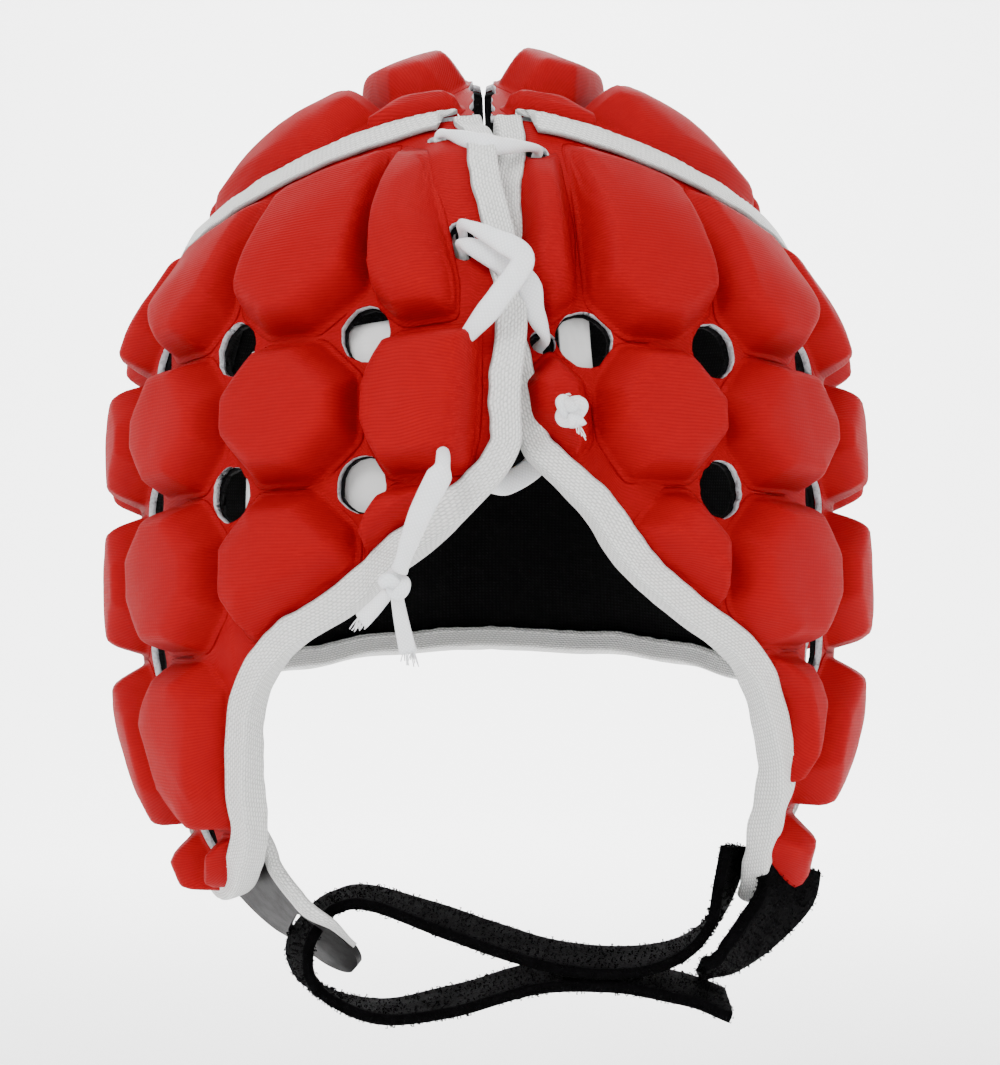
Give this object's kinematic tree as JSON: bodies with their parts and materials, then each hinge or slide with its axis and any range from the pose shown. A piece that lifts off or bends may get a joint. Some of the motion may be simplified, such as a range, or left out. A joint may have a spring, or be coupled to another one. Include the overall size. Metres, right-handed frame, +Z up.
{
  "type": "rugby scrum cap",
  "caption": "Padded rugby scrum cap: raised foam pads with round vents, white edge bindings and seam tapes, a laced front, and a chin strap through a slotted tab.",
  "frame": {"origin": "the point on the inner face of the crown, on the ridge between its two halves, where the top of the head touches", "axes": "+Z up, the face looks towards -Y, and the wearer's left is +X"},
  "size_m": [0.1918, 0.2276, 0.2335],
  "materials": {
    "red_fabric": "matt fine-ribbed stretch fabric",
    "black_lining": "matt knitted lining",
    "white_tape": "matt woven tape",
    "white_lace": "smooth tubular elastic",
    "black_strap": "matt loop pile webbing",
    "grey_tab": "satin flexible plastic",
    "label_cloth": "satin woven label"
  },
  "bodies": {
    "root": {"side_right_panel": "red_fabric", "side_right_lining": "black_lining", "side_left_panel": "red_fabric", "side_left_lining": "black_lining", "back_panel": "red_fabric", "back_lining": "black_lining", "crown_right_panel": "red_fabric", "crown_right_lining": "black_lining", "crown_left_panel": "red_fabric", "crown_left_lining": "black_lining", "edge_binding_right": "white_tape", "crown_tape_right": "white_tape", "back_tape_right": "white_tape", "edge_binding_left": "white_tape", "crown_tape_left": "white_tape", "back_tape_left": "white_tape", "nape_binding": "white_tape", "care_label": "label_cloth", "size_label": "label_cloth", "lace": "white_lace", "lace_knot_right": "white_lace", "lace_knot_left": "white_lace", "chin_strap": "black_strap", "strap_pile": "black_strap", "strap_tab": "grey_tab", "tab_trim": "white_tape"}
  },
  "joints": []
}
